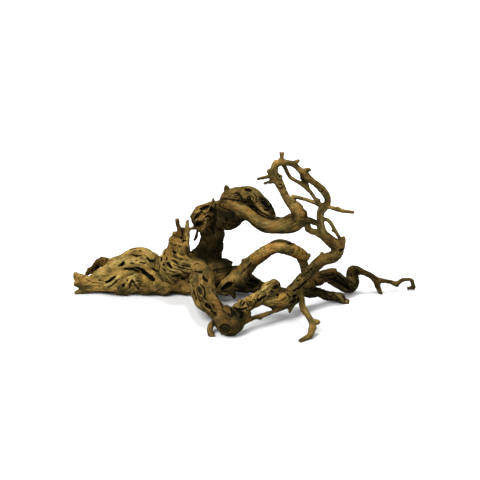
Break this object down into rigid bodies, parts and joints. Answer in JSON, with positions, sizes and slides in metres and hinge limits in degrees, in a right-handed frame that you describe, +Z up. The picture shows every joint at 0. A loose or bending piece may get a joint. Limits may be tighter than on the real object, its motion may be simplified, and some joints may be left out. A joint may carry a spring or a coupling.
{
  "type": "grapevine wood",
  "caption": "Dried, sandblasted piece of old vine wood with a thick twisted log, a swan-necked limb, a low arch and root-like branches, lying on its log, elbow and root tips.",
  "frame": {"origin": "middle of the footprint, on the surface that the wood lies on", "axes": "+X along the wood's length, from the log's broken end to the hooked root tip; +Y towards the back of the log; +Z up"},
  "size_m": [0.557, 0.2352, 0.2755],
  "materials": {
    "vine_wood": "matte, weathered, deeply grooved grain"
  },
  "bodies": {
    "root": {"grapevine_wood": "vine_wood"}
  },
  "joints": []
}
